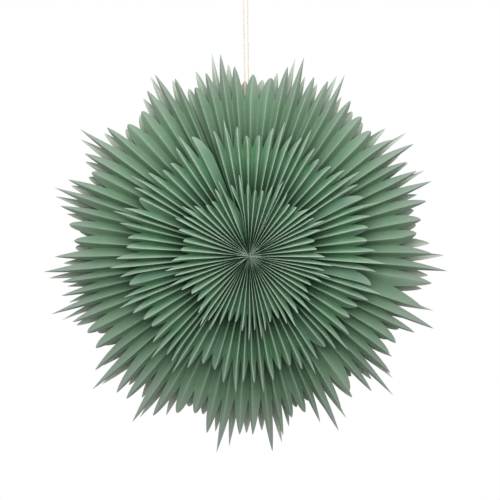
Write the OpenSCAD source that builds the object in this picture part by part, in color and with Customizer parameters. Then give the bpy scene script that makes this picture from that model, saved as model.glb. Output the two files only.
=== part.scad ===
// Layered paper star on a doubled cotton cord, in millimetres.
// The front faces -Y and +Z is up. The origin is the inside top of the hanging loop.
// Each ring is made of pleated sheets. A sheet's last leaf is glued over the next sheet's first leaf.

/* [Paper] */
// Thickness of the paper
paper = 0.2; // [0.1:0.05:0.3]
// Width of one panel, from one fold to the next
fold = 11.5; // [11:0.5:14]
// Thickness of a sheet, along the star's depth, where its folds are packed round the middle
packed = 0.6; // [0.4:0.1:1]
// Glue between two overlapping leaves, along the star's depth
glue = 0.1; // [0.05:0.05:0.3]
// Room between one ring and the next
ring_room = 0.3; // [0.2:0.1:1]

/* [Pleats] */
// Sheets in one ring
sheets = 9; // [8:1:12]
// Turn of the first join, in degrees up from the right-hand side
first_join = 32; // [0:1:40]
// Degrees by which the joins are pulled round towards the side that hangs open
pull = 3.5; // [0:0.5:5]
// Turn of the side that the joins are pulled towards
pull_side = 195; // [0:5:355]
// Degrees by which the closing join slipped back as the ring was closed
closing_slip = 3.5; // [0:0.5:5]
// How much closer the pleats stand beside a join, as a share of the usual distance
crowding = 0.2; // [0:0.05:0.4]

/* [Leaf outline] */
// Fullness of the low leaves, where 1 is straight sides and 2 a round end
low_fullness = 2.2; // [1:0.1:3]
// Fullness of the middling leaves
mid_fullness = 1.5; // [1:0.1:3]
// Fullness of the tall leaves
tall_fullness = 1.2; // [1:0.1:3]

/* [Front ring] */
// Leaves on one sheet of the front ring
front_leaves = 8; // [6:1:9]
// Radius of the low leaves' tips
front_tip_r = 75; // [60:1:90]
// How much further out each taller kind of leaf reaches
front_step = 8.5; // [4:0.5:12]
// Depth of the cut between two low leaves
front_cut = 11; // [6:1:20]
// Degrees by which the front ring is turned on the large one
front_turn = -0.5; // [-5:0.5:5]

/* [Middle ring] */
// Leaves on one sheet of the middle ring
middle_leaves = 9; // [8:1:10]
// Radius of the low leaves' tips
middle_tip_r = 134; // [115:1:150]
// How much further out each taller kind of leaf reaches
middle_step = 9.5; // [4:0.5:14]
// Depth of the cut between two low leaves
middle_cut = 16; // [8:1:25]
// Degrees by which the middle ring is turned on the large one
middle_turn = 0.5; // [-5:0.5:5]

/* [Large ring and back ring] */
// Leaves on one sheet of the large ring and the back ring
large_leaves = 9; // [8:1:12]
// Radius of the low leaves' tips
large_tip_r = 194; // [175:1:200]
// How much further out each taller kind of leaf reaches
large_step = 14.5; // [6:0.5:16]
// Depth of the cut between two low leaves
large_cut = 22; // [10:1:35]
// Turn of the back ring on the large one, as a share of the distance between two leaves
back_turn = 0.5; // [0:0.1:1]

/* [Glue core] */
// Radius of the core that the middle, large and back rings are set on
core_r = 5.6; // [5:0.1:8]
// Radius of the core's nose, which the front ring is set on
nose_r = 3.2; // [3:0.1:5]
// How far the nose stays behind the front edge of the front ring
nose_back = 4; // [2:0.5:8]
// Room between the core and the sheets
core_room = 0.2; // [0.1:0.1:0.5]

/* [Hanging cord] */
// Thickness of the cord
cord_d = 1.2; // [0.8:0.1:2]
// Room round the cord where it passes between two rings
cord_room = 0.3; // [0.2:0.1:1]
// Distance between the two strands at the core
cord_apart = 4; // [3:0.5:6]
// Room round the cord's ends in the core
cord_fit = 0.1; // [0.05:0.05:0.2]
// Depth of the cord's ends in the core
cord_depth = 4; // [2:0.5:5]
// Height of the loop's inside top above the middle of the star
hang_drop = 300; // [280:5:320]

/* [Hidden] */
RINGS = ["front_sheet_", "middle_sheet_", "large_sheet_", "back_sheet_"];

// Degrees in a radian
radian = 180 / PI;
// Straight cuts along one side of a leaf
cuts = 3;
// The join at which the last sheet was closed onto the first
closing_join = 2;
// The least that a pleat stays folded, as the most that its panel may be pulled flat
flattest = 0.98;
// Height of the leaves in turn along a sheet, where 0 is low, 1 middling and 2 tall
leaf_kinds = [1, 2, 1, 0, 0, 1, 2, 1];
fullness = [low_fullness, mid_fullness, tall_fullness];

// Places of the rings' middle planes along the star's depth
under_leaf = packed + glue;
ring_depth = fold + packed + under_leaf;
large_y = -(cord_d / 2 + cord_room + fold / 2 + packed / 2 + under_leaf);
middle_y = large_y - ring_depth - ring_room;
front_y = middle_y - ring_depth - ring_room;
edge = fold / 2 + packed / 2;

// A ring is [leaves on a sheet, low tip radius, step, cut, turn, inner radius]
front_ring = [front_leaves, front_tip_r, front_step, front_cut, front_turn, nose_r + core_room];
middle_ring = [middle_leaves, middle_tip_r, middle_step, middle_cut, middle_turn, core_r + core_room];
large_ring = [large_leaves, large_tip_r, large_step, large_cut, 0, core_r + core_room];
half_pleat = back_turn * 360 / sheets / (large_leaves - 1);
back_ring = [large_leaves, large_tip_r, large_step, large_cut, half_pleat, core_r + core_room];

// The cord's centreline, from one end in the core, over the top of the loop and back
strand_x = cord_apart / 2;
end_z = core_r - cord_depth + cord_fit - hang_drop;
cord_route = [
    [-strand_x, 0, end_z],
    [-2, 0, -280],
    [-2, 0, -260],
    [-2, 0, -240],
    [-2, 0, -220],
    [-2, 0, -200],
    [-2, 0, -180],
    [-2, 0, -160],
    [-2, 0, -140],
    [-2, 0, -120],
    [-2, 0, -100],
    [-2.1, 0, -80],
    [-2.1, 0, -60],
    [-2.1, 0, -40],
    [-2.3, 0, -20],
    [-2.6, 0, -10],
    [-2.8, 0, -5],
    [-2.8, 0, -2.5],
    [-2.5, 0, -1],
    [-1.5, 0, 0.2],
    [0, 0, 0.6],
    [1.5, 0, 0.2],
    [2.5, 0, -1],
    [2.8, 0, -2.5],
    [2.8, 0, -5],
    [2.6, 0, -10],
    [2.3, 0, -20],
    [2.1, 0, -40],
    [2.1, 0, -60],
    [2.1, 0, -80],
    [2, 0, -100],
    [2, 0, -120],
    [2, 0, -140],
    [2, 0, -160],
    [2, 0, -180],
    [2, 0, -200],
    [2, 0, -220],
    [2, 0, -240],
    [2, 0, -260],
    [2, 0, -280],
    [strand_x, 0, end_z],
];
cord_sides = 8;

// Turn of a glued join
function even_turn(join) = first_join + join * 360 / sheets;
function slip(join) = (join % sheets == closing_join) ? closing_slip : 0;
function join_turn(join) = even_turn(join) + pull * cos(even_turn(join) - pull_side) - slip(join);

// Turn of a fold: folds are counted along the ring, whole numbers at the ridges and halves between
function spread(u) = u - crowding * sin(360 * u) / 2 / PI;
function net_leaves(ring) = ring[0] - 1;
function fold_turn(ring, q) =
    let (
        join = floor(q / net_leaves(ring)),
        along = spread(q / net_leaves(ring) - join)
    )
    ring[4] + join_turn(join) * (1 - along) + join_turn(join + 1) * along;

// Share of a panel's width that faces the front, at a fold and a radius
function opened(ring, q, r) =
    let (pitch = fold_turn(ring, q + 0.5) - fold_turn(ring, q - 0.5))
    min(r * pitch / 2 / radian / fold, flattest);
function pleat_depth(ring, q, r) = fold * sqrt(1 - pow(opened(ring, q, r), 2));
function sheet_depth(ring, q, r) = min(paper / opened(ring, q, r), packed);

// A point of a sheet on fold c, at radius r. Side is -1 on the front face and 1 on the back face.
// Folds 0 to 2 are the first leaf, which lies under the last leaf of the sheet before.
function first_fold(ring, k) = k * net_leaves(ring) - 0.5;
function fold_point(ring, k, c, r, side) =
    let (
        q = first_fold(ring, k) + c / 2,
        thick = sheet_depth(ring, q, r),
        ridge = (c % 2 == 1) ? -1 : 1,
        under = (c <= 2) ? thick + glue : 0,
        turn = fold_turn(ring, q),
        y = ridge * pleat_depth(ring, q, r) / 2 + side * thick / 2 + under
    )
    [r * cos(turn), y, r * sin(turn)];

// The cut outline of a leaf
function kind(ring, c) = leaf_kinds[(c - 1) / 2 % net_leaves(ring) % len(leaf_kinds)];
function notch_r(ring) = ring[1] - ring[3];
function tip_r(ring, c) = ring[1] + ring[2] * kind(ring, c);
function outline_r(ring, c, u) =
    notch_r(ring) + (tip_r(ring, c) - notch_r(ring)) * (1 - pow(1 - u, fullness[kind(ring, c)]));
function outer_r(ring, c) = (c % 2 == 1) ? tip_r(ring, c) : notch_r(ring);

// A point of the outline between fold c and the next, at step j
function cut_point(ring, k, c, j, side) =
    let (
        leaf = (c % 2 == 1) ? c : c + 1,
        u = (c % 2 == 1) ? 1 - j / cuts : j / cuts,
        r = outline_r(ring, leaf, u),
        near = fold_point(ring, k, c, r, side),
        far = fold_point(ring, k, c + 1, r, side)
    )
    near + (far - near) * j / cuts;

function sheet_points(ring, k) =
    let (folds = 2 * ring[0])
    concat(
        [
            for (c = [0:folds]) for (r = [ring[5], outer_r(ring, c)]) for (side = [-1, 1])
                fold_point(ring, k, c, r, side)
        ],
        [
            for (c = [0:folds - 1]) for (j = [1:cuts - 1]) for (side = [-1, 1])
                cut_point(ring, k, c, j, side)
        ]
    );

// Number of the front point at step j of the outline after fold c. Its back point is the next one.
function rim(folds, c, j) =
    (j == 0) ? 4 * c + 2
    : (j == cuts) ? 4 * c + 6
    : 4 * (folds + 1) + 2 * ((cuts - 1) * c + j - 1);

function panel_faces(folds, c) =
    let (
        even = c % 2 == 0,
        hub = even ? 4 * c : 4 * c + 4,
        side_face = even ? [hub, 4 * c + 4, rim(folds, c, cuts)] : [hub, rim(folds, c, 0), 4 * c],
        front = concat([side_face], [for (j = [0:cuts - 1]) [hub, rim(folds, c, j + 1), rim(folds, c, j)]]),
        back = [for (f = front) [f[0] + 1, f[2] + 1, f[1] + 1]],
        outer = [
            for (j = [0:cuts - 1])
                let (a = rim(folds, c, j), b = rim(folds, c, j + 1))
                each [[a, b, b + 1], [a, b + 1, a + 1]]
        ],
        inner = [[4 * c + 4, 4 * c, 4 * c + 1], [4 * c + 4, 4 * c + 1, 4 * c + 5]]
    )
    concat(front, back, outer, inner);

function sheet_faces(folds) =
    let (last = 4 * folds)
    concat(
        [for (c = [0:folds - 1]) each panel_faces(folds, c)],
        [[0, 2, 3], [0, 3, 1]],
        [[last + 2, last, last + 1], [last + 2, last + 1, last + 3]]
    );

module sheet(ring, k) {
    polyhedron(sheet_points(ring, k - 1), sheet_faces(2 * ring[0]));
}

module front_sheet(k) {
    color([0.53, 0.64, 0.54]) translate([0, front_y, -hang_drop]) sheet(front_ring, k);
}

module middle_sheet(k) {
    color([0.49, 0.61, 0.51]) translate([0, middle_y, -hang_drop]) sheet(middle_ring, k);
}

module large_sheet(k) {
    color([0.46, 0.57, 0.48]) translate([0, large_y, -hang_drop]) sheet(large_ring, k);
}

// The back ring faces the other way, so its folds are seen from behind as the front ring's are from before
module back_sheet(k) {
    color([0.55, 0.63, 0.56]) translate([0, -large_y, -hang_drop]) mirror([0, 1, 0]) sheet(back_ring, k);
}

module along_y(r, from, to) {
    translate([0, to, 0]) rotate([90, 0, 0]) cylinder(h = to - from, r = r, $fn = 48);
}

module glue_core() {
    core_front = middle_y - edge;
    nose_front = front_y - edge + nose_back;
    bore_r = cord_d / 2 + cord_fit;
    color([0.80, 0.80, 0.72]) translate([0, 0, -hang_drop]) difference() {
        union() {
            along_y(core_r, core_front, -large_y + edge);
            along_y(nose_r, nose_front, core_front + nose_r);
        }
        for (x = [-strand_x, strand_x])
            translate([x, 0, core_r - cord_depth]) cylinder(h = 2 * cord_depth, r = bore_r, $fn = 24);
    }
}

// The cord is a tube swept along its route, which lies in the plane y = 0
function unit(v) = v / norm(v);
function heading(i) =
    unit(cord_route[min(i + 1, len(cord_route) - 1)] - cord_route[max(i - 1, 0)]);
function cord_ring(i) =
    let (ahead = heading(i), across = [ahead[2], 0, -ahead[0]])
    [
        for (s = [0:cord_sides - 1])
            let (a = 360 * s / cord_sides)
            cord_route[i] + cord_d / 2 * (cos(a) * across + sin(a) * [0, 1, 0])
    ];

module hanging_cord() {
    rings = len(cord_route);
    n = cord_sides;
    skin = [
        for (i = [0:rings - 2]) for (s = [0:n - 1])
            let (a = i * n + s, b = i * n + (s + 1) % n)
            each [[a, a + n, b + n], [a, b + n, b]]
    ];
    start_cap = [for (s = [1:n - 2]) [0, s, s + 1]];
    far = (rings - 1) * n;
    end_cap = [for (s = [1:n - 2]) [far, far + s + 1, far + s]];
    color([0.90, 0.87, 0.78])
        polyhedron([for (i = [0:rings - 1]) each cord_ring(i)], concat(skin, start_cap, end_cap));
}

for (k = [1:sheets]) front_sheet(k);
for (k = [1:sheets]) middle_sheet(k);
for (k = [1:sheets]) large_sheet(k);
for (k = [1:sheets]) back_sheet(k);
glue_core();
hanging_cord();
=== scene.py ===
import bpy
import numpy as np
from mathutils import Matrix, Vector


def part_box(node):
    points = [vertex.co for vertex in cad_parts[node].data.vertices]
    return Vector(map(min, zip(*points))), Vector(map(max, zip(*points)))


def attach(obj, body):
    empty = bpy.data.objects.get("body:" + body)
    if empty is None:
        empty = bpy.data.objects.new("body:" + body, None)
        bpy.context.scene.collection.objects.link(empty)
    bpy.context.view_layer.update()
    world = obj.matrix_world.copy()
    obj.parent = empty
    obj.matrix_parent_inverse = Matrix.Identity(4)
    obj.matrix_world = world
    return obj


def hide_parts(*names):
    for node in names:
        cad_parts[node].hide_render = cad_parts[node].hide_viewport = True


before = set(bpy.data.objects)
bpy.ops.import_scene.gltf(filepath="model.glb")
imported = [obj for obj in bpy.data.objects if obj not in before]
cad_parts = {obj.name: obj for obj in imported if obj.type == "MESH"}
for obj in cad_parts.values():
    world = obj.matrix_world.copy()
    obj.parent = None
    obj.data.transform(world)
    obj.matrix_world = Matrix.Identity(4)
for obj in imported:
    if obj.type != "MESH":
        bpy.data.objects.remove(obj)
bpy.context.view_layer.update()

# The view is the photograph's: straight at the front, from a little above, with a long lens.
# One pixel of the 500 takes in 1.1 mm at the star, whose middle lies at pixel (249, 256).
MM = 0.001
PIXEL = 1.1 * MM
PICTURE = 500
MIDDLE_PIXEL = (249, 256)
core_low, core_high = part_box("glue_core")
star_middle = Vector(((core_low.x + core_high.x) / 2, core_low.y, (core_low.z + core_high.z) / 2))
CAMERA_DISTANCE = 3.2
CAMERA_RISE = np.radians(10.5)
CAMERA_ROLL = np.radians(0.8)
towards_camera = Vector((0, -np.cos(CAMERA_RISE), np.sin(CAMERA_RISE)))
picture_up = Vector((0, np.sin(CAMERA_RISE), np.cos(CAMERA_RISE)))
aim = (
    star_middle
    + Vector((1, 0, 0)) * (PICTURE / 2 - MIDDLE_PIXEL[0]) * PIXEL
    + picture_up * (MIDDLE_PIXEL[1] - PICTURE / 2) * PIXEL
)
lens = bpy.data.cameras.new("camera")
lens.sensor_fit = "HORIZONTAL"
lens.lens = lens.sensor_width * CAMERA_DISTANCE / (PICTURE * PIXEL)
camera = bpy.data.objects.new("camera", lens)
turned = towards_camera.to_track_quat("Z", "Y").to_matrix().to_4x4()
camera.matrix_world = (
    Matrix.Translation(aim + towards_camera * CAMERA_DISTANCE)
    @ turned
    @ Matrix.Rotation(-CAMERA_ROLL, 4, "Z")
)
bpy.context.collection.objects.link(camera)
bpy.context.scene.camera = camera


# The hanging cord is one length of thin two-ply cotton, doubled into a loop.
# Its ends are set in the core, and it runs up between the large ring and the back ring.
CORD_THICK = 1.2 * MM
CORD_LAY = 5 * MM
PLY_DEPTH = 0.16
CORD_SIDES = 12
CORD_RINGS_APART = 0.8 * MM
CURVE_STEPS = 24
LEFT_STRAND = [
    (-2, 0, -298.3),
    *[(-2, 0, z) for z in range(-260, -80, 20)],
    *[(-2.1, 0, z) for z in range(-80, -20, 20)],
    (-2.3, 0, -20),
    (-2.6, 0, -10),
    (-2.8, 0, -5),
    (-2.8, 0, -2.5),
    (-2.5, 0, -1),
    (-1.5, 0, 0.2),
]
RIGHT_STRAND = [(-x, y, z) for x, y, z in reversed(LEFT_STRAND)]
CORD_ROUTE = [*LEFT_STRAND, (0, 0, 0.6), *RIGHT_STRAND]


def smooth_line(points, apart):
    """Points at even distances along a smooth curve through the given ones, and how far along each is."""
    p = np.vstack([2 * points[0] - points[1], points, 2 * points[-1] - points[-2]])
    stretches = []
    for a, b, c, d in zip(p, p[1:], p[2:], p[3:]):
        t = np.linspace(0, 1, CURVE_STEPS, endpoint=False)[:, None]
        reach = np.linalg.norm(c - b)
        start = reach * (c - a) / np.linalg.norm(c - a)
        end = reach * (d - b) / np.linalg.norm(d - b)
        stretches.append(
            (2 * t**3 - 3 * t**2 + 1) * b
            + (t**3 - 2 * t**2 + t) * start
            + (3 * t**2 - 2 * t**3) * c
            + (t**3 - t**2) * end
        )
    line = np.vstack([*stretches, p[-2:-1]])
    along = np.concatenate([[0], np.cumsum(np.linalg.norm(np.diff(line, axis=0), axis=1))])
    even = np.linspace(0, along[-1], int(along[-1] / apart) + 1)
    return np.stack([np.interp(even, along, line[:, k]) for k in range(3)], axis=1), even


def new_piece(name, points, faces):
    """A mesh object at the origin, with smooth faces, riding on the star."""
    mesh = bpy.data.meshes.new(name)
    mesh.from_pydata([tuple(p) for p in points], [], faces)
    mesh.polygons.foreach_set("use_smooth", [True] * len(mesh.polygons))
    piece = bpy.data.objects.new(name, mesh)
    bpy.context.collection.objects.link(piece)
    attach(piece, "root")
    return piece


cord_line, cord_along = smooth_line(np.array(CORD_ROUTE) * MM, CORD_RINGS_APART)
ahead = np.gradient(cord_line, axis=0)
ahead /= np.linalg.norm(ahead, axis=1, keepdims=True)
across = np.stack([ahead[:, 2], 0 * ahead[:, 2], -ahead[:, 0]], axis=1)
around = np.arange(CORD_SIDES) * 2 * np.pi / CORD_SIDES
lay_turn = cord_along[:, None] * 2 * np.pi / CORD_LAY
ply = 1 - PLY_DEPTH + PLY_DEPTH * np.abs(np.cos(around - lay_turn))
cord_skin = cord_line[:, None] + CORD_THICK / 2 * ply[..., None] * (
    np.cos(around)[None, :, None] * across[:, None]
    + np.sin(around)[None, :, None] * np.array([0, 1, 0])
)
cord_faces = [
    (i * CORD_SIDES + s, i * CORD_SIDES + t, (i + 1) * CORD_SIDES + t, (i + 1) * CORD_SIDES + s)
    for i in range(len(cord_line) - 1)
    for s, t in zip(range(CORD_SIDES), [*range(1, CORD_SIDES), 0])
]
last_ring = (len(cord_line) - 1) * CORD_SIDES
cord_faces.append(tuple(reversed(range(CORD_SIDES))))
cord_faces.append(tuple(range(last_ring, last_ring + CORD_SIDES)))
cord = new_piece("cotton_cord", cord_skin.reshape(-1, 3), cord_faces)
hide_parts("hanging_cord")


class Wire:
    """A value in a material's nodes. A sum or product of wires adds the Math nodes that work it out."""

    def __init__(self, nodes, socket):
        self.nodes = nodes
        self.socket = socket

    def add(self, kind, settings, sockets, output=0):
        """A new node with its settings, and the values or wires of its sockets."""
        made = self.nodes.new("ShaderNode" + kind)
        for setting, value in settings.items():
            setattr(made, setting, value)
        for place, value in sockets.items():
            if isinstance(value, Wire):
                self.nodes.id_data.links.new(value.socket, made.inputs[place])
            else:
                made.inputs[place].default_value = value
        return Wire(self.nodes, made.outputs[output]) if made.outputs else None

    def math(self, operation, a, b):
        return self.add("Math", {"operation": operation}, {0: a, 1: b})

    def __add__(self, other):
        return self.math("ADD", self, other)

    def __radd__(self, other):
        return self.math("ADD", other, self)

    def __sub__(self, other):
        return self.math("SUBTRACT", self, other)

    def __rsub__(self, other):
        return self.math("SUBTRACT", other, self)

    def __mul__(self, other):
        return self.math("MULTIPLY", self, other)

    def __rmul__(self, other):
        return self.math("MULTIPLY", other, self)

    def __pow__(self, other):
        return self.math("POWER", self, other)

    def clipped(self):
        return self.add("Clamp", {}, {"Value": self})

    def ramp(self, start, end):
        """A wire that goes from 0 to 1 as this one goes from start to end, and no further."""
        return ((self - start) * (1 / (end - start))).clipped()

    def mix(self, dry, wet):
        """The colour dry where this wire is 0, and wet where it is 1."""
        settings = {"data_type": "RGBA", "clamp_factor": True}
        return self.add("Mix", settings, {0: self, 6: dry, 7: wet}, output=2)


def new_material(name):
    """A material with no nodes but its output, and a wire to start its nodes from."""
    material = bpy.data.materials.new(name)
    material.use_nodes = True
    material.node_tree.nodes.clear()
    start = Wire(material.node_tree.nodes, None)
    return material, start


def finish_with(start, shader):
    start.add("OutputMaterial", {}, {"Surface": shader})


def colour(red, green, blue):
    """A colour given as it looks on a screen, from 0 to 255, as the linear one that nodes hold."""
    screen = np.array([red, green, blue]) / 255
    linear = np.where(screen <= 0.04045, screen / 12.92, ((screen + 0.055) / 1.055) ** 2.4)
    return (*[float(c) for c in linear], 1)


COTTON = colour(226, 216, 194)
COTTON_SHADE = colour(188, 174, 146)
cotton, start = new_material("cotton")
place = start.add("TexCoord", {}, {}, output="Object")
strands = start.add("TexNoise", {}, {"Vector": place, "Scale": 1500.0, "Detail": 3.0})
fuzz = start.add("TexNoise", {}, {"Vector": place, "Scale": 6000.0, "Detail": 2.0})
lit_strands = strands * 1.6 - 0.3
finish_with(
    start,
    start.add(
        "BsdfPrincipled",
        {},
        {
            "Base Color": lit_strands.mix(COTTON_SHADE, COTTON),
            "Roughness": 0.9,
            "Specular IOR Level": 0.2,
            "Normal": start.add("Bump", {}, {"Height": fuzz, "Strength": 0.4, "Distance": 0.1 * MM}),
        },
    ),
)
cord.data.materials.append(cotton)


# The glue core is a short stick of set glue in the middle of the star.
# The gathered inner edges of all four rings are stuck to it, and so are the ends of the cord.
GLUE = colour(196, 200, 178)
GLUE_SHADE = colour(150, 165, 140)
glue, start = new_material("glue")
place = start.add("TexCoord", {}, {}, output="Object")
cloud = start.add("TexNoise", {}, {"Vector": place, "Scale": 250.0, "Detail": 2.0})
finish_with(
    start,
    start.add(
        "BsdfPrincipled",
        {},
        {
            "Base Color": cloud.mix(GLUE_SHADE, GLUE),
            "Roughness": 0.45,
            "Normal": start.add("Bump", {}, {"Height": cloud, "Strength": 0.5, "Distance": 0.4 * MM}),
        },
    ),
)
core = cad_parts["glue_core"]
core.data.materials.clear()
core.data.materials.append(glue)


# The back ring is nine sheets of thick sage paper, folded to and fro, cut at the rim to leaf points
# of three heights and glued end leaf over end leaf. It faces backwards, half a pleat off the rest.
SHEETS = 9
PAPER = 0.2 * MM
FOLD = 11.5 * MM
GLUE_FILM = 0.12 * MM
CLOSING_JOIN = 2
LARGE_Y = -7.65 * MM
RING_APART = 13.1 * MM
# Which height each leaf of a sheet is cut to: 0 for low, 1 for middling and 2 for tall.
LEAF_KINDS = np.array([1, 2, 1, 0, 0, 1, 2, 1, 0, 0])
FIRST_TALL = 2
TALLS_APART = 10
# How the folds stray from an even spacing, in shares of it, and ridges and valleys from their level.
CROWDING = 0.13
LOOSENESS = 0.07
DRIFT_FOLDS = 7
DRIFT_MOST = 1.6
RIDGE_DRIFT = 0.14
VALLEY_DRIFT = -0.06
UNEVENNESS = 0.12
# Towards the middle, nearly half the ridges are pressed in, and they draw together by twos to fours.
PRESSED_SHARE = 0.45
PRESSED_IN = 0.9
STANDING = 0.15
BUNCH_LEAST = 2
BUNCH_MOST = 4
BUNCH_PULL = 0.3
BUNCH_REACH = 20 * MM
# How far the pressed-in ridges towards the middle are dimmed in the paper's colour, as painted shade.
SUNK_RIDGE_SHADE = 0.7
# The shape of a leaf: how full it is at each height, and how far the cut, lean and curl stray.
FULLNESS = np.array([1.9, 1.3, 0.98])
FULLNESS_STRAY = 0.15
LEAST_FULLNESS = 0.85
TIP_STRAY = 0.012
LEAN_STRAY = np.radians(0.5)
CURL_STRAY = 1.4 * MM
LEAN_BEND = 1.5
# A panel that has sprung wider than this is cut as a full, flat flap.
SPRUNG_FROM = np.radians(3.5)
FLAP_FULLNESS = 1.9
# A panel never opens quite flat. Its two creases are rounded, and the ridge is pinched sharper.
FLATTEST = 0.98
NEIGHBOURS_SHARE = 0.175
SHARPEST_CREASE = 0.06
SOFTEST_CREASE = 0.34
RIDGE_PINCH = 1.5
# At the closing join the folds slant, and the last three follow one another in it.
SLANT_SHARES = np.array([0.3, 0.65, 1])
SLANT_END = 1.15
SLANT_FADE = 0.4
# A sheet's first leaf is glued under the last of the sheet before, and its third panel comes up again.
LAP_PANELS = 3
# A ring with a smaller eye than this closes to a flat point in the middle.
CLOSED_EYE = 3 * MM
CLOSED_REACH = 5 * MM
CLOSED_DEPTH = 0.2
CLOSED_BACK = 0.8 * MM
# The mesh: its columns across a panel, its rows from the eye to the rim, and its skin.
PANEL_STEPS = np.array([0, 0.04, 0.12, 0.3, 0.5, 0.7, 0.88, 0.96])
ROWS = 24
ROW_CROWDING = 1.25
THINNEST = 0.15
STEEPEST = 0.35
SHARP_FROM = np.radians(80)


def stray(chance, shape, most):
    """Random numbers that stray from 0 by 1 or so, and never by more than the most given."""
    return chance.normal(0, 1, shape).clip(-most, most)


def ring_folds(nets, turn, talls, sprung, seed):
    """The turns, levels and inner bunching of all the folds round a ring, ridge and valley by turns.

    The folds stand a little closer towards the two tall leaves of a sheet than between them. Across
    a join they share what is left, and a panel that has sprung open there takes its own angle.
    """
    chance = np.random.default_rng(seed)
    within = np.linspace(0, 1, TALLS_APART, endpoint=False)
    within = within - CROWDING * np.sin(2 * np.pi * within) / (2 * np.pi)
    turns = []
    for k in range(SHEETS):
        start, end = talls[k]
        after = talls[(k + 1) % SHEETS][0] + 360 * (k + 1 == SHEETS)
        opened = np.zeros(2 * nets[k] - TALLS_APART)
        for panel, angle in sprung.get((k + 1) % SHEETS, ()):
            opened[panel] = angle
        even = (after - end - opened.sum()) / (opened == 0).sum()
        panels = np.where(opened > 0, opened, even)
        turns.extend(start + (end - start) * within)
        turns.extend(end + np.cumsum(panels) - panels)
    count = len(turns)
    turns = np.roll(turns, FIRST_TALL) - 360 * (np.arange(count) < FIRST_TALL) + turn
    ridge = np.arange(count) % 2 == 0
    drift = chance.normal(0, 1, count + DRIFT_FOLDS - 1)
    drift = np.convolve(drift, np.ones(DRIFT_FOLDS) / DRIFT_FOLDS**0.5, "valid")
    drift = np.where(ridge, RIDGE_DRIFT, VALLEY_DRIFT) * drift.clip(-DRIFT_MOST, DRIFT_MOST)
    turns += 360 / count * (LOOSENESS * stray(chance, count, most=1.8) + drift)
    levels = np.where(ridge, -1, 1) * (1 - UNEVENNESS * chance.random(count))
    sunk = np.where(chance.random(count) < PRESSED_SHARE, PRESSED_IN, STANDING) * ridge
    bunch = np.zeros(count)
    first = 0
    while first < count // 2:
        size = min(int(chance.integers(BUNCH_LEAST, BUNCH_MOST + 1)), count // 2 - first)
        group = 2 * (first + np.arange(size))
        bunch[group] = (turns[group].mean() - turns[group]) * BUNCH_PULL
        first += size
    valleys = np.arange(1, count, 2)
    bunch[valleys] = (bunch[valleys - 1] + bunch[(valleys + 1) % count]) / 2
    return turns, levels, sunk, bunch


def leaf_shapes(low_tip, step, seed):
    """The tip radius, fullness, lean and curl of each leaf of the nine sheets."""
    chance = np.random.default_rng(seed)
    shape = (SHEETS, len(LEAF_KINDS))
    taller = stray(chance, shape, most=1.6) + (LEAF_KINDS == 2)
    tips = low_tip + step * LEAF_KINDS + TIP_STRAY * low_tip * taller
    full = FULLNESS[LEAF_KINDS] + FULLNESS_STRAY * stray(chance, shape, most=1.5)
    lean = LEAN_STRAY * stray(chance, shape, most=1.8)
    curl = CURL_STRAY * stray(chance, shape, most=1.5)
    return tips, np.maximum(full, LEAST_FULLNESS), lean, curl


def new_ring(
    *,
    net,
    longer=(),
    low_tip,
    step,
    cut,
    turn,
    talls,
    sprung,
    flaps=False,
    seam=0,
    spare_after=True,
    slant=0,
    flare=0,
    droop=0,
    slump=(0, 0),
    crease,
    eye=5.9,
    y,
    seed,
):
    """What all nine sheets of one ring share. Lengths are in mm, but for y, and angles in degrees.

    Each sheet adds net leaves to the ring, and the longer ones a leaf more. The tall leaves stand at the
    turns in talls, two to a sheet, and sprung says which panels have sprung open at which joins, and how
    wide. At the closing join two sheets part by seam, and spare_after says that the leaf there is on the
    sheet after it. The rim flares forwards, and slump is how far it has slipped aside and down. The
    leaves that hang down are longer by the share in droop.
    """
    nets = [net + (k in longer) for k in range(SHEETS)]
    turns, levels, sunk, bunch = ring_folds(nets, turn, talls, sprung, seed)
    tips, full, lean, curl = leaf_shapes(low_tip * MM, step * MM, seed + 1)
    for k in range(SHEETS):
        for shape in (tips, full, lean, curl):
            shape[k, nets[k]] = shape[(k + 1) % SHEETS, 0]
    return {
        "nets": nets,
        "turns": turns,
        "levels": levels,
        "sunk": sunk,
        "bunch": bunch,
        "tips": tips,
        "full": full,
        "lean": lean,
        "curl": curl,
        "flaps": flaps,
        "notch": (low_tip - cut) * MM,
        "eye": eye * MM,
        "y": y,
        "seam": np.radians(seam),
        "spare_after": spare_after,
        "slant": np.radians(slant),
        "flare": flare * MM,
        "droop": droop,
        "slump": (slump[0] * MM, slump[1] * MM),
        "crease": crease * MM,
    }


def paper_skin(name, middle, half, y, facing):
    """A closed skin round a sheet's middle surface, half a paper's thickness off it on both sides."""
    out = np.cross(np.gradient(middle, axis=0), np.gradient(middle, axis=1))
    out /= np.linalg.norm(out, axis=2, keepdims=True)
    out *= np.where(out[..., 1:2] > 0, -1, 1)
    skin = np.stack([middle + half * out, middle - half * out])
    skin[..., 1] *= facing
    skin += np.array([0, y, star_middle.z])
    front, back = np.arange(skin[..., 0].size).reshape(skin.shape[:3])

    def quads(*corners):
        order = corners if facing > 0 else corners[::-1]
        return np.stack([corner.ravel() for corner in order], axis=1)

    faces = np.vstack(
        [
            quads(front[:-1, :-1], front[:-1, 1:], front[1:, 1:], front[1:, :-1]),
            quads(back[:-1, :-1], back[1:, :-1], back[1:, 1:], back[:-1, 1:]),
            quads(front[:-1, -1], back[:-1, -1], back[1:, -1], front[1:, -1]),
            quads(front[:-1, 0], front[1:, 0], back[1:, 0], back[:-1, 0]),
            quads(front[0, :-1], back[0, :-1], back[0, 1:], front[0, 1:]),
            quads(front[-1, :-1], front[-1, 1:], back[-1, 1:], back[-1, :-1]),
        ]
    )
    piece = new_piece(name, skin.reshape(-1, 3), faces.tolist())
    piece.data.set_sharp_from_angle(angle=SHARP_FROM)
    return piece


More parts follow.
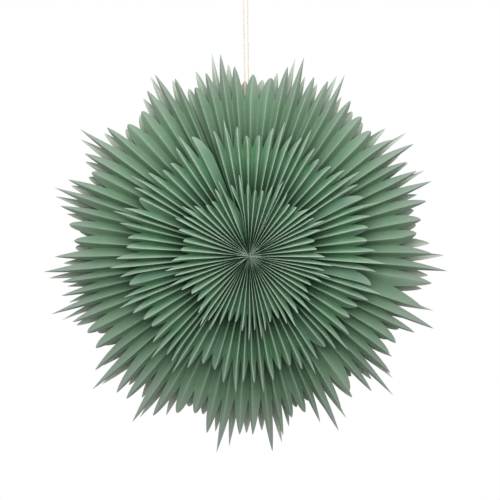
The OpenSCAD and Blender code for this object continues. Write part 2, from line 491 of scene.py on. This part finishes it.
def folded_sheet(name, ring, k, facing):
    """One pleated sheet as a thin solid, with its creases, cut outline and glued end leaves."""
    # The folds of the sheet, taken from all those round the ring. It starts and ends with a valley.
    notch, eye = ring["notch"], ring["eye"]
    open_start = k == CLOSING_JOIN and ring["seam"] > 0
    open_end = k + 1 == CLOSING_JOIN and ring["seam"] > 0
    short_start = open_start and not ring["spare_after"]
    short_end = open_end and ring["spare_after"]
    first = 2 * sum(ring["nets"][:k]) - 1 + 2 * short_start
    folds = 2 * (ring["nets"][k] + 1 - short_start - short_end)
    numbers = np.arange(first, first + folds + 1)
    total = len(ring["turns"])
    turns = np.radians(ring["turns"][numbers % total] + 360 * (numbers // total))[:, None]
    bunch = np.radians(ring["bunch"][numbers % total])[:, None]
    sunk = ring["sunk"][numbers % total][:, None]
    levels = ring["levels"][numbers % total][:, None]
    parting = np.zeros((folds + 1, 1))
    parting[0] = ring["seam"] / 2 * open_start
    parting[-1] = -ring["seam"] / 2 * open_end
    slanted = np.zeros((folds + 1, 1))
    slanted[0] = -ring["slant"] * open_start
    slanted[-3:, 0] = -ring["slant"] * SLANT_SHARES * open_end

    # The columns of the mesh, each with the panel and leaf that it lies on, and the cut of the rim.
    columns = np.concatenate([(np.arange(folds)[:, None] + PANEL_STEPS).ravel(), [folds]])
    panel = np.minimum(columns.astype(int), folds - 1)
    ridge_fold = panel // 2 * 2 + 1
    leaf = panel // 2 + short_start
    u = 1 - np.abs(columns - ridge_fold)
    sprung = (turns[panel + 1] - turns[panel])[:, 0] > SPRUNG_FROM
    flap = ring["flaps"] & sprung & (u < 1)
    full = np.where(flap, FLAP_FULLNESS, ring["full"][k][leaf])
    hanging = np.clip(-np.sin(turns[ridge_fold, 0]), 0, 1)
    tip = notch + (ring["tips"][k][leaf] - notch) * (1 + ring["droop"] * hanging)
    outline = notch + (tip - notch) * (1 - (1 - u) ** full)
    rows = 1 - (1 - np.linspace(0, 1, ROWS)) ** ROW_CROWDING
    r = eye + (outline[:, None] - eye) * rows
    inner = np.exp(-((r / BUNCH_REACH) ** 2))

    def fold_turn(fold):
        parted = parting[fold] * np.clip(2 * r / notch - 1, 0, 1)
        aslant = slanted[fold] * np.clip((SLANT_END - r / notch) / SLANT_FADE, 0, 1)
        return turns[fold] + bunch[fold] * inner + parted + aslant

    def panel_depth(number):
        opened = np.minimum(r * (turns[number + 1] - turns[number]) / FOLD, FLATTEST)
        return FOLD * np.sqrt(1 - opened**2)

    def fold_depth(fold):
        before, after = panel_depth(np.maximum(fold - 1, 0)), panel_depth(np.minimum(fold, folds - 1))
        least = (1 - 2 * NEIGHBOURS_SHARE) * np.minimum(before, after)
        shared = least + NEIGHBOURS_SHARE * (before + after)
        return levels[fold] * shared / 2 * (1 - sunk[fold] * inner)

    # The depth across each panel, from one rounded crease to the other.
    wide = r * (fold_turn(panel + 1) - fold_turn(panel))
    share = np.minimum(wide / FOLD, FLATTEST)
    slope = FOLD * np.sqrt(1 - share**2)
    crease = np.clip(ring["crease"] * slope / wide**2, SHARPEST_CREASE, SOFTEST_CREASE)
    f = (columns - panel)[:, None]
    rounded = np.where(
        f < crease,
        f**2 / (2 * crease),
        np.where(f > 1 - crease, 1 - crease - (1 - f) ** 2 / (2 * crease), f - crease / 2),
    ) / (1 - crease)
    rising = (panel % 2 == 0)[:, None]
    from_ridge = np.where(rising, 1 - rounded, rounded)
    pinched = 1 - (1 - from_ridge) ** RIDGE_PINCH
    rounded = np.where(rising, 1 - pinched, pinched)
    near, far = fold_depth(panel), fold_depth(panel + 1)
    y = near + (far - near) * rounded
    if eye < CLOSED_EYE:
        closed = np.exp(-((r / CLOSED_REACH) ** 2))
        y = y * (1 - closed) + (CLOSED_DEPTH * y - FOLD / 2 + CLOSED_BACK) * closed

    # The tips lean and curl, the rim flares, and the first leaf goes under the last of the sheet before.
    beyond = np.clip((r - notch) / (tip - notch)[:, None], 0, 1)
    turn = fold_turn(panel) * (1 - f) + fold_turn(panel + 1) * f
    turn = turn + ring["lean"][k][leaf][:, None] * beyond**LEAN_BEND
    y = y + ring["curl"][k][leaf][:, None] * beyond**2 - ring["flare"] * (r / notch) ** 2
    under = np.clip(LAP_PANELS - columns, 0, 1)[:, None] * (not open_start)
    y = y + under * (PAPER + GLUE_FILM) / np.maximum(share, STEEPEST)
    aside, down = (most * r / notch for most in ring["slump"])
    middle = np.stack([r * np.cos(turn) - aside, y, r * np.sin(turn) - down], axis=2)
    half = np.minimum(PAPER / 2, THINNEST * wide)[..., None]
    piece = paper_skin(name, middle, half, ring["y"], facing)

    # What the paper's material reads: how near a ridge a point is, dimmed as painted shade on the
    # pressed-in ridges towards the middle, how far out, and whether on a flap.
    ridge = u[:, None] * (1 - SUNK_RIDGE_SHADE * sunk[ridge_fold] * inner)
    on_flap = np.broadcast_to(flap[:, None], r.shape)
    for label, values in (("ridge", ridge), ("reach", r), ("flap", on_flap)):
        stored = piece.data.attributes.new(label, "FLOAT", "POINT")
        stored.data.foreach_set("value", np.stack([values, values]).ravel())
    return piece


# The dark colour of the painted shade under the ring on top.
SAGE_DARK = colour(34, 74, 43)
# The pale colour of the painted highlights on the ridges and at the middle.
SAGE_HIGHLIGHT = colour(178, 200, 182)
# The dull grey-green of a sprung flap is painted shade.
FLAP_SHADE = colour(92, 122, 102)
# Out to these reaches from the middle the ridges get painted highlight rays, and the middle a painted pale
# point.
GATHERED_TO = 16 * MM
PRESSED_TO = 4 * MM


def sage_paper(name, *, lit, valley_shade, tip, tip_from, tip_to, shade_from, shade_to, shade, highlight_strength):
    """Thick paper with a sage dye: fine fibres, soft clouds of tone, painted ridge highlights, and greyer
    leaf tips.

    It is painted lighter on the ridges and darker in the valleys, as painted light and shade. The tips
    fade in from tip_from to tip_to, and painted shade of the ring on top lies inside shade_to, wholly by
    shade_from, in metres off the middle.
    """
    paper, start = new_material(name)
    place = start.add("TexCoord", {}, {}, output="Object")
    ridge = start.add("Attribute", {"attribute_name": "ridge"}, {}, output="Fac")
    reach = start.add("Attribute", {"attribute_name": "reach"}, {}, output="Fac")
    flap = start.add("Attribute", {"attribute_name": "flap"}, {}, output="Fac")
    clouds = start.add("TexNoise", {}, {"Vector": place, "Scale": 45.0, "Detail": 4.0})
    fibres = start.add("TexNoise", {}, {"Vector": place, "Scale": 900.0, "Detail": 4.0})
    grain = start.add("TexNoise", {}, {"Vector": place, "Scale": 3500.0, "Detail": 2.0})

    # The dye colour with painted light and shade: lighter ridges, darker valleys, painted shade on a flap
    # and under the ring on top, and paler tips.
    # Lighter towards a ridge and darker into a valley is painted light and shade; the clouds and fibres
    # are the paper's own tone.
    tone = ridge**2.2 + 0.5 * (clouds - 0.5) + 0.25 * (fibres - 0.5)
    folded = (flap * 0.8).mix(tone.mix(valley_shade, lit), FLAP_SHADE)
    sheltered = reach.ramp(shade_to, shade_from) * (0.9 - 0.4 * ridge**3) * shade
    faded = reach.ramp(tip_from, tip_to) * (0.55 + 0.4 * clouds)
    dye_and_shade = faded.mix(sheltered.mix(folded, SAGE_DARK), tip)

    # Painted highlights: a pale line along the ridges, pale rays where the folds gather to the middle, and
    # a pale point where they are pressed to the core.
    ridge_highlight = ridge**14 * (0.4 + 0.6 * fibres) * highlight_strength * (1 - flap)
    gathered = 2.8 * reach.ramp(GATHERED_TO, 0) * ridge**3
    pressed = reach.ramp(PRESSED_TO, 0)
    highlights = ridge_highlight + gathered + pressed

    tooth = {"Height": 0.6 * fibres + 0.4 * grain, "Strength": 0.35, "Distance": 0.12 * MM}
    finish_with(
        start,
        start.add(
            "BsdfPrincipled",
            {},
            {
                "Base Color": highlights.mix(dye_and_shade, SAGE_HIGHLIGHT),
                "Roughness": 0.72 + 0.2 * fibres,
                "Specular IOR Level": 0.25,
                "Normal": start.add("Bump", {}, tooth),
            },
        ),
    )
    return paper


def dress_ring(ring, node, material, facing=1):
    """The nine sheets of a ring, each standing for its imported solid."""
    for k in range(SHEETS):
        sheet = folded_sheet(f"{node}_{k + 1}_paper", ring, k, facing)
        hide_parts(f"{node}_{k + 1}")
        sheet.data.materials.append(material)


ROLL = float(np.degrees(CAMERA_ROLL))
LARGE_NET = 8
LARGE_LONGER = (1, 2, 6)
LARGE_SLUMP = (3.3, 0)
LARGE_DROOP = 0.12
HALF_PLEAT = 360 / SHEETS / LARGE_NET / 2
LARGE_TALLS = (
    (34, 60),
    (73, 97.5),
    (116, 143),
    (162, 186),
    (198, 222),
    (237, 263),
    (278, 297),
    (316, 338),
    (355, 381),
)
# The back ring's paper is painted paler than the other rings', and paler still at its leaf points: painted
# light.
back_paper = sage_paper(
    "back_paper",
    lit=colour(160, 182, 162),
    valley_shade=colour(112, 142, 115),
    tip=colour(186, 192, 180),
    tip_from=0.140,
    tip_to=0.200,
    shade_from=0.02,
    shade_to=0.05,
    shade=1.0,
    highlight_strength=0.15,
)
back_ring = new_ring(
    net=LARGE_NET,
    longer=LARGE_LONGER,
    low_tip=190,
    step=14,
    cut=26,
    turn=HALF_PLEAT - ROLL,
    talls=LARGE_TALLS,
    sprung={},
    droop=LARGE_DROOP,
    slump=LARGE_SLUMP,
    crease=1.2,
    y=-LARGE_Y,
    seed=11,
)
dress_ring(back_ring, "back_sheet", back_paper, facing=-1)


# The large ring faces forwards on the other side of the cord, and its leaves have the same three heights.
# Its paper is a shade greyer at the leaf points, where light has got at it.
TIP_GREY = colour(144, 152, 146)
LARGE_SPRUNG = {
    2: ((3, 2.9), (4, 2.9)),
    3: ((3, 2.6), (4, 3.2)),
    7: ((3, 3.3), (4, 3.3)),
    8: ((2, 4.2), (3, 4.2)),
}
large_paper = sage_paper(
    "large_paper",
    lit=colour(125, 152, 128),
    valley_shade=colour(97, 127, 100),
    tip=TIP_GREY,
    tip_from=0.165,
    tip_to=0.210,
    shade_from=0.122,
    shade_to=0.160,
    shade=0.4,
    highlight_strength=0.0,
)
large_ring = new_ring(
    net=LARGE_NET,
    longer=LARGE_LONGER,
    low_tip=194,
    step=14,
    cut=26,
    turn=-ROLL,
    talls=LARGE_TALLS,
    sprung=LARGE_SPRUNG,
    seam=2,
    droop=LARGE_DROOP,
    slump=LARGE_SLUMP,
    crease=0.25,
    y=LARGE_Y,
    seed=21,
)
dress_ring(large_ring, "large_sheet", large_paper)


# The middle ring is cut shorter from the same paper, and its inner edges sit on the core before the
# large ring's. Beside some of its joins a panel has sprung open and lies there flat, painted a dull
# grey-green as painted shade.
SAGE_LIT = colour(144, 170, 149)
# The darker colour in the valleys of the folds is painted shade.
SAGE_VALLEY_SHADE = colour(80, 124, 88)
MIDDLE_TALLS = (
    (37.2, 62.8),
    (75, 99.5),
    (119.5, 144.6),
    (161.7, 185.4),
    (202, 227.4),
    (237.8, 264.2),
    (276.6, 300),
    (316.9, 343.4),
    (356.8, 383.4),
)
MIDDLE_SPRUNG = {
    0: ((2, 4.9),),
    2: ((2, 2.2), (3, 6.6)),
    3: ((4, 4.8),),
    4: ((3, 3.7), (4, 3.7)),
    7: ((3, 4.5),),
    8: ((2, 4.6),),
}
middle_paper = sage_paper(
    "middle_paper",
    lit=SAGE_LIT,
    valley_shade=SAGE_VALLEY_SHADE,
    tip=SAGE_LIT,
    tip_from=0.120,
    tip_to=0.150,
    shade_from=0.070,
    shade_to=0.105,
    shade=0.9,
    highlight_strength=0.3,
)
middle_ring = new_ring(
    net=8,
    longer=(2, 3, 6),
    low_tip=134,
    step=9.5,
    cut=16,
    turn=-ROLL,
    talls=MIDDLE_TALLS,
    sprung=MIDDLE_SPRUNG,
    flaps=True,
    seam=3,
    flare=2,
    slump=(1.5, 1),
    crease=0.35,
    y=LARGE_Y - RING_APART,
    seed=31,
)
dress_ring(middle_ring, "middle_sheet", middle_paper)


# The front ring is the smallest, nine sheets of eight leaves each, glued to the end of the core.
# Its folds close to a point over the core, and their ridges carry the strongest painted highlight of all.
FRONT_TALLS = (
    (35.6, 64),
    (66.8, 96.2),
    (110.4, 142.2),
    (151.5, 188.8),
    (199.2, 233.8),
    (241.5, 270.8),
    (279.2, 305),
    (318.7, 346),
    (354, 387),
)
front_paper = sage_paper(
    "front_paper",
    lit=SAGE_LIT,
    valley_shade=SAGE_VALLEY_SHADE,
    tip=SAGE_LIT,
    tip_from=0.070,
    tip_to=0.090,
    shade_from=0.008,
    shade_to=0.045,
    shade=1.0,
    highlight_strength=0.7,
)
front_ring = new_ring(
    net=7,
    low_tip=75,
    step=8.5,
    cut=11,
    turn=-ROLL,
    talls=FRONT_TALLS,
    sprung={},
    seam=5,
    spare_after=False,
    slant=6.5,
    flare=4,
    crease=0.4,
    eye=0.3,
    y=LARGE_Y - 2 * RING_APART,
    seed=41,
)
dress_ring(front_ring, "front_sheet", front_paper)


# The stage is a pale floor well below the star, which brightens outwards into a white surround.
# Square lamps light the paper softly: a broad one and a smaller one in front, and one behind.
FLOOR_DROP = 1.1
FLOOR_SIDE = 3.2
FADE_FROM = 0.5
MIDDLE_GLOW = 0.88
AMBIENT = 0.48
PALE = colour(200, 200, 200)
WHITE = (1, 1, 1, 1)
# Where each lamp is, the side of its square, both in metres, and its power in watts.
LAMPS = {
    "key": ((0.0, -0.62, 0.12), 0.8, 4.6),
    "top": ((0.0, -0.4, 0.05), 0.4, 1.2),
    "back": ((0.1, 0.9, 0.3), 0.8, 9),
}
half_floor = FLOOR_SIDE / 2
floor_corners = [
    (x * half_floor, y * half_floor, -FLOOR_DROP) for x, y in ((-1, -1), (1, -1), (1, 1), (-1, 1))
]
floor_mesh = bpy.data.meshes.new("floor")
floor_mesh.from_pydata(floor_corners, [], [(0, 1, 2, 3)])
floor = bpy.data.objects.new("floor", floor_mesh)
bpy.context.collection.objects.link(floor)
pale, start = new_material("pale_floor")
seen = start.add("LightPath", {}, {}, output="Is Camera Ray")
place = start.add("TexCoord", {}, {}, output="Object")
from_middle = {0: place, 1: (0, 0, -FLOOR_DROP)}
away = start.add("VectorMath", {"operation": "DISTANCE"}, from_middle, output="Value")
glowing = (MIDDLE_GLOW + (1 - MIDDLE_GLOW) * away.ramp(FADE_FROM, half_floor)) * seen
matt = start.add("BsdfDiffuse", {}, {"Color": PALE})
glow = start.add("Emission", {}, {"Color": WHITE, "Strength": 1.0})
finish_with(start, start.add("MixShader", {}, {0: glowing, 1: matt, 2: glow}))
floor_mesh.materials.append(pale)

world = bpy.data.worlds.new("surround")
bpy.context.scene.world = world
world.use_nodes = True
world.node_tree.nodes.clear()
start = Wire(world.node_tree.nodes, None)
straight, mirrored, through = (
    start.add("LightPath", {}, {}, output=f"Is {ray} Ray") for ray in ("Camera", "Glossy", "Transmission")
)
seen = (straight + mirrored + through).clipped()
light = start.add("Background", {}, {"Color": WHITE, "Strength": AMBIENT + (1 - AMBIENT) * seen})
start.add("OutputWorld", {}, {"Surface": light})

for name, (spot, side, power) in LAMPS.items():
    lamp = bpy.data.lights.new(name, "AREA")
    lamp.shape = "SQUARE"
    lamp.size = side
    lamp.energy = power
    holder = bpy.data.objects.new(name, lamp)
    holder.location = spot
    holder.rotation_euler = (Vector(spot) - star_middle).to_track_quat("Z", "Y").to_euler()
    bpy.context.collection.objects.link(holder)

bpy.context.scene.view_settings.view_transform = "Standard"
